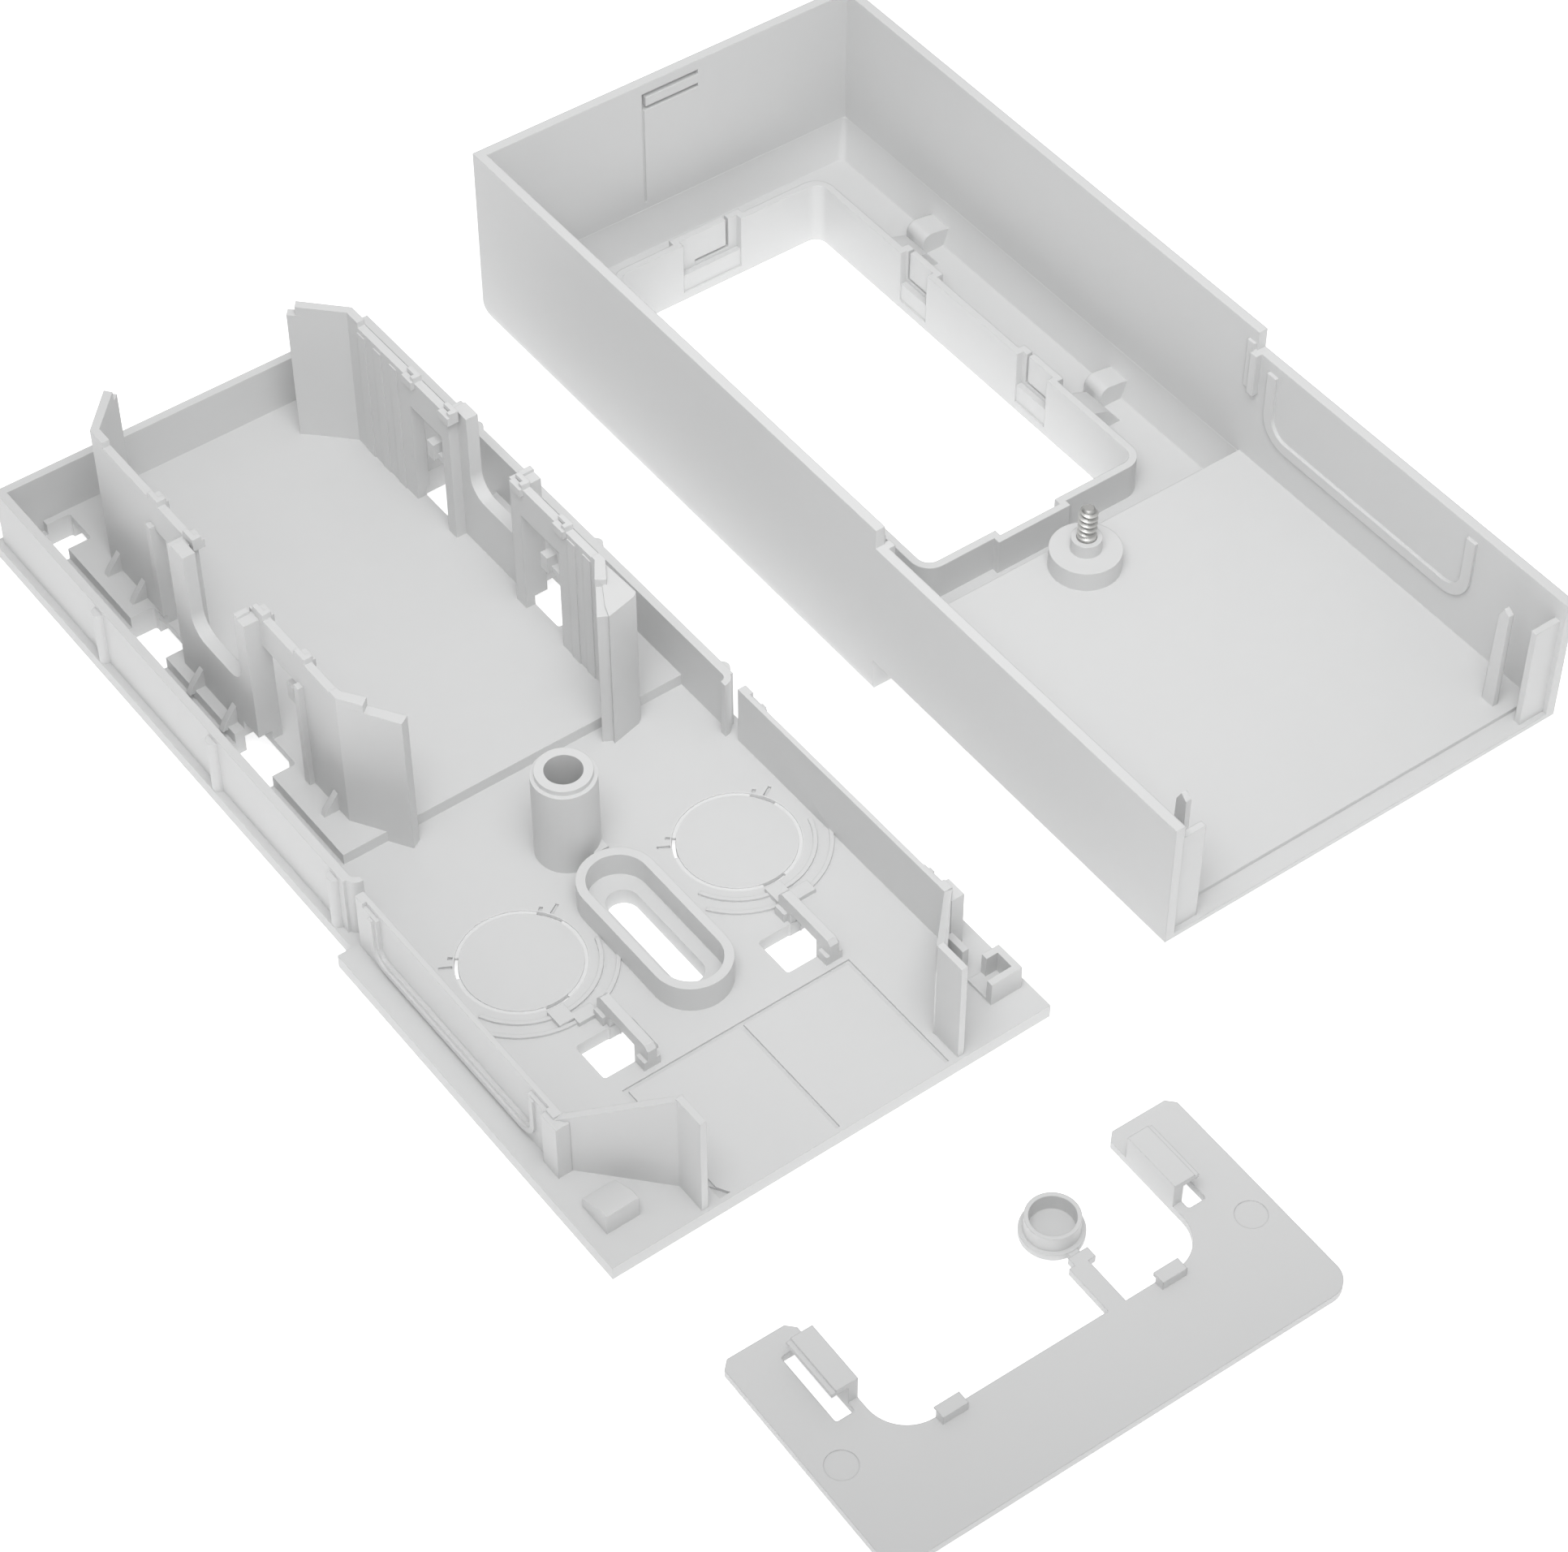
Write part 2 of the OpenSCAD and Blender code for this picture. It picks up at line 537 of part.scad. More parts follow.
// places where the lip is set outward: far side, near side and twice at the right
function lip_jogs(ox, o1) = [
  [cw / 2 - 6.5, o1 - 1, cw / 2 + 6.5, o1 + 1.4],
  [cw / 2 - 6.5, open_y - 1.4, cw / 2 + 6.5, open_y + 1],
  [ox + open_w - 1, 111.6, ox + open_w + 1.4, 120],
  [ox + open_w - 1, 146.4, ox + open_w + 1.4, 154.2]];

// the shared origin of all pieces
module datum() translate([-mid, -score_y, 0]) children();

module place_cover() datum() translate([cover_x, cover_y, 0]) rotate([0, 0, -0.6]) children();

module mounting_base() color(plastic) datum() tray();

module cover_hood() color(plastic) place_cover() cover_shape();

module cover_screw() color(steel) place_cover() translate([cw / 2, boss_y, 0]) difference() {
  union() {
    translate([0, 0, sink_top - 2.5]) cylinder(r = head_r, h = 2.2, $fn = 48);
    translate([0, 0, sink_top - 1]) cylinder(r = screw_r, h = collar_top - sink_top + 1.6, $fn = 48);
    // threaded end: ridges round a thinner core, then the blunt tip
    translate([0, 0, collar_top + 0.5]) cylinder(r = screw_r - 0.45, h = screw_out - 1.1, $fn = 48);
    rotate_extrude($fn = 48) for (i = [0 : 5]) translate([0, collar_top + 1.3 + i * 1.1])
      polygon([[0, -0.45], [screw_r - 0.46, -0.45], [screw_r, -0.06], [screw_r, 0.06],
               [screw_r - 0.46, 0.45], [0, 0.45]]);
    translate([0, 0, tip_z - 0.7]) cylinder(r1 = screw_r - 0.45, r2 = 0.7, h = 0.7, $fn = 48);
  }
  // cross recess in the head
  for (a = [0, 90]) rotate([0, 0, a]) translate([-head_r * 0.6, -0.35, sink_top - 3]) cube([head_r * 1.2, 0.7, 1.8]);
}

module closing_plate_shape() {
  xr = plate_w - plate_arm;
  difference() {
    union() {
      // bar and two arms, near corners rounded
      span([plate_corner, 0, 0], [plate_w - plate_corner, plate_bar, plate_t]);
      span([0, plate_corner, 0], [plate_w, plate_bar, plate_t]);
      for (x = [plate_corner, plate_w - plate_corner]) translate([x, plate_corner, 0])
        cylinder(r = plate_corner, h = plate_t, $fn = 48);
      for (x = [0, xr]) span([x, plate_bar - e, 0], [x + plate_arm, plate_d, plate_t]);
      // material that the inner corner rounds are cut from
      both(plate_w / 2) span([plate_arm - e, plate_bar - e, 0],
        [plate_arm + plate_r, plate_bar + plate_r, plate_t]);
      // sprue to the screw hole cap
      span([cap_x - 2.7, plate_bar - e, 0], [cap_x + 0.6, cap_y - 7.6, plate_t]);
      span([cap_x - 1.6, cap_y - 8, 0], [cap_x + 2, cap_y - 6, plate_t]);
      span([cap_x - 1, cap_y - 6.4, 0], [cap_x + 0.8, cap_y - 3, plate_t - 0.4]);
      // hook walls beside the arm slots, lip turned outward
      both(plate_w / 2) {
        span([plate_arm - 1.7, 26.6, plate_t - e], [plate_arm, 37.9, plate_t + 4.9]);
        span([plate_arm - 4.7, 26.6, plate_t + 3.8], [plate_arm, 37.9, plate_t + 4.5]);
        span([plate_arm - 3.9, 26.6, plate_t + 3.8], [plate_arm, 37.9, plate_t + 4.9]);
      }
      // two small hooks on the inner edge
      for (x = [20.3, 61]) {
        span([x, plate_bar - 1.7, plate_t - e], [x + 4.6, plate_bar, plate_t + 1.8]);
        span([x, plate_bar - 1.7, plate_t + 1], [x + 4.6, plate_bar + 0.6, plate_t + 1.8]);
      }
    }
    both(plate_w / 2) {
      translate([plate_arm + plate_r, plate_bar + plate_r, -1]) cylinder(r = plate_r, h = 4, $fn = 64);
      round_span([8, 24.9, -1], [plate_arm - 1.7, 38.7, plate_t + 1], 0.5, 16);
      // bevelled arm ends
      translate([0, plate_d, -1]) rotate([0, 0, 45]) translate([-1, -1, 0]) cube([2, 2, 4]);
      translate([plate_arm, plate_d, -1]) rotate([0, 0, 45]) translate([-1, -1, 0]) cube([2, 2, 4]);
      // ejector pin ring
      translate([4.4, 18.6, plate_t - 0.2]) cylinder(r = 2.6, h = 1, $fn = 48);
    }
  }
  // screw hole cap, open side up
  translate([cap_x, cap_y, 0]) {
    difference() {
      union() {
        cylinder(r = cap_r + 0.75, h = 1.2, $fn = 64);
        cylinder(r = cap_r, h = cap_h, $fn = 64);
      }
      translate([0, 0, 1]) cylinder(r = cap_r - 0.7, h = cap_h, $fn = 64);
    }
  }
}

module closing_plate() color(plastic) datum() translate([plate_x, plate_y, 0]) rotate([0, 0, -1.33])
  closing_plate_shape();

mounting_base();
cover_hood();
closing_plate();
cover_screw();
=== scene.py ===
import math

import bmesh
import bpy
from bpy.props import FloatProperty, FloatVectorProperty, IntProperty, PointerProperty
from bpy.types import Operator, Panel, PropertyGroup
from mathutils import Matrix, Vector


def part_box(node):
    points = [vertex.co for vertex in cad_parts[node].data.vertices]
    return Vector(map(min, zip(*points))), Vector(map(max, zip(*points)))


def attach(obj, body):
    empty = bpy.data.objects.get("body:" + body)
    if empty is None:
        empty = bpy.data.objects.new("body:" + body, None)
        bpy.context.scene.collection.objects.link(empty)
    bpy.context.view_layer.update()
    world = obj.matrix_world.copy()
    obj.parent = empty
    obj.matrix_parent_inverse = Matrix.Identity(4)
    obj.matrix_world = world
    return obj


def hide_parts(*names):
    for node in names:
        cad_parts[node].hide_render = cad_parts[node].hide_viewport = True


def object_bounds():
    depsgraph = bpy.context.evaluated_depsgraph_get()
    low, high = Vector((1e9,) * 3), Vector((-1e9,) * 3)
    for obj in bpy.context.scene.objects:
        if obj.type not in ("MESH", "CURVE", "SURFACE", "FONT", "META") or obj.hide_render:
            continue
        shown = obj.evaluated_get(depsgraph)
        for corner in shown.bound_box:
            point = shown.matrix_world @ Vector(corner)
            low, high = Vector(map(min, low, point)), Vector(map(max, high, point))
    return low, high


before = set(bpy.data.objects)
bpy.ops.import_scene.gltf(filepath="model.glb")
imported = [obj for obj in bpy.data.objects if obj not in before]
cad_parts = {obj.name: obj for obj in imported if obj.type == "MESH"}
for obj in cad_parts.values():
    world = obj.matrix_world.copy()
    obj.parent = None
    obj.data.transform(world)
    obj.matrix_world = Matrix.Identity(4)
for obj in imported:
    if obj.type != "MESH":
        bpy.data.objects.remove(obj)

bl_info = {
    "name": "Socket Mounting Base Looks",
    "version": (1, 0, 0),
    "blender": (4, 5, 0),
    "location": "3D View > Sidebar > Mounting Base",
    "description": "Finishes the tray, cover hood, closing plate and cover screw of a socket mounting base",
    "category": "Object",
}

CAD_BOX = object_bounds()
MM = 0.001

# the screw's place and its lowest and highest point come from the frame
SCREW_LOW, SCREW_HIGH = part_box("cover_screw")
SCREW_X = (SCREW_LOW.x + SCREW_HIGH.x) / 2
SCREW_Y = (SCREW_LOW.y + SCREW_HIGH.y) / 2

# the hood lies turned by a small angle; its inside sizes are in millimetres from its own corner
HOOD_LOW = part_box("cover_hood")[0]
HOOD_TURN = math.radians(-0.6)
HOOD_WIDTH = 82.7
# left, near, right and far inner faces of the hood's deep part, and of its window
HOOD_ROOM = (1.8, 77.3, 80.9, 191.6)
HOOD_WINDOW = (20.0, 87.1, 65.7, 179.3)
# near and far face of each pair of guide blocks
GUIDE_BLOCKS = ((106.3, 111.0), (158.2, 163.2))
# the ledge's hidden under side: middle height of the hood's floor, and a round inside its long edges
FLOOR_MIDDLE = 0.9
SHELL_ROUND = 7.1
SHELL_CENTRE_IN = 6.2
SHELL_CENTRE_UP = 8.0
# how deep new pieces reach into the solid that they stand on
OVERLAP = 0.3

# centres and radius of the tray's two knock-outs, in millimetres
KNOCKOUTS = ((-19.4, 30.9), (23.0, 30.9))
KNOCKOUT_RADIUS = 10.35

# the head's height and the length from the shank's end to the tip of the solid screw
HEAD_HEIGHT = 2.2 * MM
THREAD_LENGTH = 8.2 * MM
# the turned screw ends this far below the solid's tip
TIP_DROP = 2.0 * MM

# painted highlight tone of rounded edges, painted glow tone of the thin webs where the table's light shows
# through, and the tone of dark specks
EDGE_HIGHLIGHT_TONE = (0.86, 0.86, 0.86, 1)
EDGE_HIGHLIGHT_SHARE = 0.22
WEB_GLOW_TONE = (0.97, 0.97, 0.97, 1)
SPECK_TONE = (0.55, 0.56, 0.57, 1)

FLOOR_HALF = 2.5
FLOOR_DROP = 0.2 * MM


# settings


class StageSettings(PropertyGroup):
    camera_place: FloatVectorProperty(
        name="Camera place", description="Where the camera stands", size=3,
        default=(-0.2338, -0.3251, 0.5004), subtype="TRANSLATION", unit="LENGTH", precision=4)
    camera_look: FloatVectorProperty(
        name="Camera look", description="Direction in which the camera looks", size=3,
        default=(0.4033, 0.5392, -0.7394), subtype="DIRECTION")
    camera_lens: FloatProperty(
        name="Lens", description="Focal length on a 36 mm wide sensor", default=93.83, min=20.0,
        unit="CAMERA")
    floor_tone: FloatProperty(
        name="Floor tone", description="How much light the floor throws back", default=0.86, min=0.0,
        max=1.0, subtype="FACTOR")
    floor_lift: FloatProperty(
        name="Floor lift", description="Extra brightness of the floor as the camera sees it",
        default=0.15, min=0.0, max=1.0, subtype="FACTOR")
    floor_glow: FloatProperty(
        name="Floor glow", description="Light of the pale table itself, as on a light table",
        default=0.435, min=0.0, max=1.0, subtype="FACTOR")
    sky: FloatProperty(
        name="Surround light", description="Strength of the even light from all sides", default=0.575,
        min=0.0, max=2.0)
    top_power: FloatProperty(
        name="Top light", description="Power of the broad light overhead", default=0.4, min=0.0,
        unit="POWER")
    cover_power: FloatProperty(
        name="Cover light", description="Power of the near soft light that reaches into the cover",
        default=0.31, min=0.0, unit="POWER")


class PlasticSettings(PropertyGroup):
    colour: FloatVectorProperty(
        name="Colour", description="Colour of the moulded plastic", size=3,
        default=(0.665, 0.668, 0.668), min=0.0, max=1.0, subtype="COLOR")
    roughness: FloatProperty(
        name="Roughness", description="How matt the moulded surface is", default=0.46, min=0.0,
        max=1.0, subtype="FACTOR")
    edge_radius: FloatProperty(
        name="Edge radius", description="Radius of the soft moulded edges", default=0.3 * MM,
        min=0.0, subtype="DISTANCE", unit="LENGTH", precision=5)
    grain_size: FloatProperty(
        name="Grain size", description="Size of the fine texture left by the mould", default=0.35 * MM,
        min=0.01 * MM, subtype="DISTANCE", unit="LENGTH", precision=5)
    grain_depth: FloatProperty(
        name="Grain depth", description="Height of the fine texture", default=0.006 * MM, min=0.0,
        subtype="DISTANCE", unit="LENGTH", precision=6)
    specks: FloatProperty(
        name="Specks", description="Strength of the stray dark specks", default=0.4, min=0.0, max=1.0,
        subtype="FACTOR")
    # painted glow: the pale ring round each knock-out stands in for the table's light shining through the
    # thin web
    web_width: FloatProperty(
        name="Web width", description="Width of the pale thin web round each knock-out",
        default=1.1 * MM, min=0.0, subtype="DISTANCE", unit="LENGTH", precision=4)
    # how much paler the painted glow makes the thin web look than the floor
    web_glow: FloatProperty(
        name="Web light", description="How much paler the thin web looks than the floor",
        default=0.3, min=0.0, max=1.0, subtype="FACTOR")
    smooth_angle: FloatProperty(
        name="Smooth angle", description="Edges flatter than this are shaded as one round face",
        default=math.radians(32), subtype="ANGLE")


class LedgeSettings(PropertyGroup):
    level: FloatProperty(
        name="Ledge level", description="Height of the flat ledge round the window", default=5.6 * MM,
        min=2.5 * MM, subtype="DISTANCE", unit="LENGTH", precision=4)
    foot: FloatProperty(
        name="Foot", description="How far the walls' thick foot stands in over the ledge",
        default=2.1 * MM, min=0.0, subtype="DISTANCE", unit="LENGTH", precision=4)
    rise: FloatProperty(
        name="Rise", description="Height over which the foot runs out into the walls",
        default=7.8 * MM, min=1.0 * MM, max=8.0 * MM, subtype="DISTANCE", unit="LENGTH", precision=4)
    block_top: FloatProperty(
        name="Block top", description="Height of the guide blocks at the side walls",
        default=9.8 * MM, min=6.0 * MM, subtype="DISTANCE", unit="LENGTH", precision=4)
    block_reach: FloatProperty(
        name="Block reach", description="How far the guide blocks stand in from the wall",
        default=6.8 * MM, min=2.0 * MM, subtype="DISTANCE", unit="LENGTH", precision=4)
    block_round: FloatProperty(
        name="Block round", description="Radius of the guide blocks' upper edge",
        default=1.8 * MM, min=0.2 * MM, subtype="DISTANCE", unit="LENGTH", precision=4)


class ScrewSettings(PropertyGroup):
    colour: FloatVectorProperty(
        name="Colour", description="Colour of the plated steel", size=3, default=(0.62, 0.62, 0.605),
        min=0.0, max=1.0, subtype="COLOR")
    radius: FloatProperty(
        name="Thread radius", description="Outer radius of the thread", default=1.7 * MM,
        min=0.5 * MM, subtype="DISTANCE", unit="LENGTH", precision=5)
    core: FloatProperty(
        name="Core radius", description="Radius at the root of the thread", default=1.2 * MM,
        min=0.3 * MM, subtype="DISTANCE", unit="LENGTH", precision=5)
    pitch: FloatProperty(
        name="Pitch", description="Rise of the thread in one turn", default=1.15 * MM, min=0.2 * MM,
        subtype="DISTANCE", unit="LENGTH", precision=5)
    ridge: FloatProperty(
        name="Ridge width", description="Width of the thread's ridge at its root",
        default=0.62 * MM, min=0.1 * MM, subtype="DISTANCE", unit="LENGTH", precision=5)
    steps: IntProperty(
        name="Steps per turn", description="Points in each turn of the thread", default=40, min=8)


# node helpers


class Tree:
    """Short hand for adding and linking nodes in one tree."""

    def __init__(self, tree):
        self.tree = tree

    def node(self, kind, **inputs):
        """Adds a node; set_x sets its property x, i0 its first socket, other names a socket's name."""
        made = self.tree.nodes.new(kind)
        for name, value in inputs.items():
            if name.startswith("set_"):
                setattr(made, name[4:], value)
        for name, value in inputs.items():
            if name.startswith("set_"):
                continue
            key = int(name[1:]) if name[0] == "i" and name[1:].isdigit() else name.replace("_", " ")
            socket = made.inputs[key]
            if isinstance(value, bpy.types.NodeSocket):
                self.tree.links.new(value, socket)
            else:
                socket.default_value = value
        return made

    def math(self, operation, a, b=0.0, c=0.0, clamp=False):
        """Adds a maths node and returns its result."""
        made = self.node("ShaderNodeMath", set_operation=operation, set_use_clamp=clamp, i0=a, i1=b,
                         i2=c)
        return made.outputs[0]

    def blend(self, kind, factor, a, b):
        """Adds a colour mix node and returns its colour."""
        made = self.node("ShaderNodeMix", set_data_type="RGBA", set_blend_type=kind)
        for index, value in ((0, factor), (6, a), (7, b)):
            if isinstance(value, bpy.types.NodeSocket):
                self.tree.links.new(value, made.inputs[index])
            else:
                made.inputs[index].default_value = value
        return made.outputs[2]


def new_group(name, inputs, outputs):
    """An empty shader group with named sockets: the group, its tree, its inputs and its outputs."""
    group = bpy.data.node_groups.new(name, "ShaderNodeTree")
    for label, kind, value in inputs:
        made = group.interface.new_socket(label, in_out="INPUT", socket_type=kind)
        made.default_value = value
    for label, kind in outputs:
        group.interface.new_socket(label, in_out="OUTPUT", socket_type=kind)
    start = group.nodes.new("NodeGroupInput")
    end = group.nodes.new("NodeGroupOutput")
    return group, Tree(group), start.outputs, end.inputs


def moulded_surface_group():
    """Fine mould texture, slow tone changes and stray specks of moulded plastic."""
    name = "Moulded surface"
    if name in bpy.data.node_groups:
        return bpy.data.node_groups[name]
    group, t, source, out = new_group(
        name,
        [("Colour", "NodeSocketColor", (0.66, 0.66, 0.66, 1)), ("Grain Size", "NodeSocketFloat", 0.0003),
         ("Roughness", "NodeSocketFloat", 0.45), ("Cloudiness", "NodeSocketFloat", 0.03),
         ("Specks", "NodeSocketFloat", 0.5)],
        [("Colour", "NodeSocketColor"), ("Roughness", "NodeSocketFloat"), ("Height", "NodeSocketFloat")])
    place = t.node("ShaderNodeTexCoord").outputs["Object"]
    scale = t.math("DIVIDE", 1.0, source["Grain Size"])
    grain = t.node("ShaderNodeTexNoise", Vector=place, Scale=scale, Detail=3.0, Roughness=0.6)
    cloud = t.node("ShaderNodeTexNoise", Vector=place, Scale=38.0, Detail=3.0, Roughness=0.55,
                   Distortion=0.6)
    flow = t.node("ShaderNodeTexNoise", Vector=place, Scale=210.0, Detail=4.0, Roughness=0.6)
    # slow clouds and finer flow marks, both round a middle of nought
    slow = t.math("SUBTRACT", cloud.outputs["Fac"], 0.5)
    fine = t.math("MULTIPLY", t.math("SUBTRACT", flow.outputs["Fac"], 0.5), 0.5)
    tone = t.math("MULTIPLY_ADD", t.math("ADD", slow, fine), source["Cloudiness"], 1.0)
    shaded = t.node("ShaderNodeVectorMath", set_operation="SCALE", i0=source["Colour"], Scale=tone)
    # tiny darker specks, far apart
    cells = t.node("ShaderNodeTexVoronoi", Vector=place, Scale=95.0, Randomness=1.0)
    near = t.node("ShaderNodeMapRange", Value=cells.outputs["Distance"], From_Min=0.018,
                  From_Max=0.034, To_Min=1.0, To_Max=0.0)
    pick = t.node("ShaderNodeSeparateColor", Color=cells.outputs["Color"])
    chosen = t.math("GREATER_THAN", pick.outputs[0], 0.985)
    speck = t.math("MULTIPLY", t.math("MULTIPLY", near.outputs["Result"], chosen), source["Specks"])
    colour = t.blend("MULTIPLY", speck, shaded.outputs[0], SPECK_TONE)
    rough = t.math("MULTIPLY_ADD", slow, 0.16, source["Roughness"])
    rough = t.math("MULTIPLY_ADD", t.math("SUBTRACT", grain.outputs["Fac"], 0.5), 0.1, rough)
    t.tree.links.new(colour, out["Colour"])
    t.tree.links.new(rough, out["Roughness"])
    t.tree.links.new(grain.outputs["Fac"], out["Height"])
    return group


def soft_edge_group():
    """Rounded normals along moulded edges, and a mask of those edges."""
    name = "Soft edge"
    if name in bpy.data.node_groups:
        return bpy.data.node_groups[name]
    group, t, source, out = new_group(
        name, [("Radius", "NodeSocketFloat", 0.0003)],
        [("Normal", "NodeSocketVector"), ("Edge", "NodeSocketFloat")])
    bevel = t.node("ShaderNodeBevel", set_samples=8, Radius=source["Radius"])
    true = t.node("ShaderNodeNewGeometry").outputs["Normal"]
    dot = t.node("ShaderNodeVectorMath", set_operation="DOT_PRODUCT", i0=bevel.outputs["Normal"],
                 i1=true)
    mask = t.node("ShaderNodeMapRange", Value=dot.outputs["Value"], From_Min=0.995, From_Max=0.86,
                  To_Min=0.0, To_Max=1.0)
    t.tree.links.new(bevel.outputs["Normal"], out["Normal"])
    t.tree.links.new(mask.outputs["Result"], out["Edge"])
    return group


def thin_web_group():
    """Mask of the round thin web that holds a knock-out, read from object coordinates."""
    name = "Thin web"
    if name in bpy.data.node_groups:
        return bpy.data.node_groups[name]
    group, t, source, out = new_group(
        name,
        [("Centre", "NodeSocketVector", (0, 0, 0)), ("Radius", "NodeSocketFloat", 0.01),
         ("Half Width", "NodeSocketFloat", 0.0006)],
        [("Mask", "NodeSocketFloat")])
    place = t.node("ShaderNodeTexCoord").outputs["Object"]
    away = t.node("ShaderNodeVectorMath", set_operation="SUBTRACT", i0=place, i1=source["Centre"])
    flat = t.node("ShaderNodeVectorMath", set_operation="MULTIPLY", i0=away.outputs[0], i1=(1, 1, 0))
    reach = t.node("ShaderNodeVectorMath", set_operation="LENGTH", i0=flat.outputs[0])
    gap = t.math("ABSOLUTE", t.math("SUBTRACT", reach.outputs["Value"], source["Radius"]))
    mask = t.node("ShaderNodeMapRange", Value=gap, From_Min=t.math("MULTIPLY", source["Half Width"], 0.5),
                  From_Max=source["Half Width"], To_Min=1.0, To_Max=0.0)
    t.tree.links.new(mask.outputs["Result"], out["Mask"])
    return group


def plastic_material(name, tone=1.0, cloud=0.035, edge_share=1.0, webs=()):
    """Satin moulded plastic: shared mould texture and soft edges, own tone for each piece."""
    if name in bpy.data.materials:
        return bpy.data.materials[name]
    s = bpy.context.scene.base_plastic
    material = bpy.data.materials.new(name)
    material.use_nodes = True
    material.node_tree.nodes.clear()
    t = Tree(material.node_tree)
    colour = [c * tone for c in s.colour] + [1.0]
    surface = t.node("ShaderNodeGroup", set_node_tree=moulded_surface_group())
    for label, value in (("Colour", colour), ("Grain Size", s.grain_size),
                         ("Roughness", s.roughness), ("Cloudiness", cloud), ("Specks", s.specks)):
        surface.inputs[label].default_value = value
    edge = t.node("ShaderNodeGroup", set_node_tree=soft_edge_group(),
                  Radius=s.edge_radius * edge_share)
    # painted highlight: rounded edges are painted a little lighter than the flats, as where they catch the
    # light
    edge_highlight = t.math("MULTIPLY", edge.outputs["Edge"], EDGE_HIGHLIGHT_SHARE)
    lit = t.blend("MIX", edge_highlight, surface.outputs["Colour"], EDGE_HIGHLIGHT_TONE)
    # painted glow: thin webs are painted paler than the solid floor round them, as where the table's light
    # shines through them
    for x, y in webs:
        web = t.node("ShaderNodeGroup", set_node_tree=thin_web_group(), Centre=(x * MM, y * MM, 0),
                     Radius=KNOCKOUT_RADIUS * MM, Half_Width=s.web_width / 2)
        share = t.math("MULTIPLY", web.outputs["Mask"], s.web_glow)
        lit = t.blend("MIX", share, lit, WEB_GLOW_TONE)
    bump = t.node("ShaderNodeBump", Strength=1.0, Distance=s.grain_depth,
                  Height=surface.outputs["Height"], Normal=edge.outputs["Normal"])
    shader = t.node("ShaderNodeBsdfPrincipled", Base_Color=lit, Roughness=surface.outputs["Roughness"],
                    Normal=bump.outputs["Normal"])
    shader.inputs["IOR"].default_value = 1.46
    shader.inputs["Specular IOR Level"].default_value = 0.35
    t.node("ShaderNodeOutputMaterial", Surface=shader.outputs[0])
    return material


def screw_material():
    """Zinc-plated steel with turning lines round the screw, its colour darker towards the roots of the
    thread.
    """
    name = "Zinc plated steel"
    if name in bpy.data.materials:
        return bpy.data.materials[name]
    s = bpy.context.scene.base_screw
    material = bpy.data.materials.new(name)
    material.use_nodes = True
    material.node_tree.nodes.clear()
    t = Tree(material.node_tree)
    place = t.node("ShaderNodeTexCoord").outputs["Object"]
    centred = t.node("ShaderNodeMapping", Vector=place)
    centred.inputs["Location"].default_value = (-SCREW_X, -SCREW_Y, 0)
    split = t.node("ShaderNodeSeparateXYZ", Vector=centred.outputs[0])
    squares = t.math("MULTIPLY_ADD", split.outputs[0], split.outputs[0],
                     t.math("MULTIPLY", split.outputs[1], split.outputs[1]))
    distance = t.math("SQRT", squares)
    crest = t.node("ShaderNodeMapRange", Value=distance, From_Min=s.core * 1.05, From_Max=s.radius,
                   To_Min=0.0, To_Max=1.0)
    noise = t.node("ShaderNodeTexNoise", Vector=centred.outputs[0], Scale=2600.0, Detail=3.0)
    lines = t.node("ShaderNodeTexWave", set_bands_direction="Z", Vector=centred.outputs[0],
                   Scale=5200.0, Distortion=1.2, Detail=2.0)
    # the colour is darker towards the roots of the thread
    dark = [c * 0.7 for c in s.colour] + [1]
    base = t.blend("MIX", crest.outputs["Result"], dark, list(s.colour) + [1])
    base = t.blend("MULTIPLY", 0.15, base, noise.outputs["Fac"])
    rough = t.math("MULTIPLY_ADD", noise.outputs["Fac"], 0.18, 0.34)
    bump = t.node("ShaderNodeBump", Strength=0.5, Distance=0.00002, Height=lines.outputs["Fac"])
    shader = t.node("ShaderNodeBsdfPrincipled", Base_Color=base, Roughness=rough,
                    Normal=bump.outputs["Normal"])
    shader.inputs["Metallic"].default_value = 1.0
    t.node("ShaderNodeOutputMaterial", Surface=shader.outputs[0])
    return material


# geometry helpers


def smoothing_tree():
    """Geometry nodes that join the loose faces and shade round walls as one face."""
    name = "Joined and smoothed"
    if name in bpy.data.node_groups:
        return bpy.data.node_groups[name]
    tree = bpy.data.node_groups.new(name, "GeometryNodeTree")
    tree.interface.new_socket("Geometry", in_out="INPUT", socket_type="NodeSocketGeometry")
    for label, value in (("Join Distance", 0.000002), ("Smooth Angle", math.radians(32))):
        made = tree.interface.new_socket(label, in_out="INPUT", socket_type="NodeSocketFloat")
        made.default_value = value
    tree.interface.new_socket("Geometry", in_out="OUTPUT", socket_type="NodeSocketGeometry")
    t = Tree(tree)
    source = tree.nodes.new("NodeGroupInput").outputs
    joined = t.node("GeometryNodeMergeByDistance", Geometry=source["Geometry"],
                    Distance=source["Join Distance"])
    soft = t.node("GeometryNodeSetShadeSmooth", Geometry=joined.outputs[0], Shade_Smooth=True)
    angle = t.node("GeometryNodeInputMeshEdgeAngle")
    sharp = t.node("FunctionNodeCompare", set_data_type="FLOAT", set_operation="GREATER_THAN",
                   i0=angle.outputs["Unsigned Angle"], i1=source["Smooth Angle"])
    crisp = t.node("GeometryNodeSetShadeSmooth", set_domain="EDGE", Geometry=soft.outputs[0],
                   Selection=sharp.outputs[0], Shade_Smooth=False)
    end = tree.nodes.new("NodeGroupOutput")
    tree.links.new(crisp.outputs[0], end.inputs[0])
    return tree


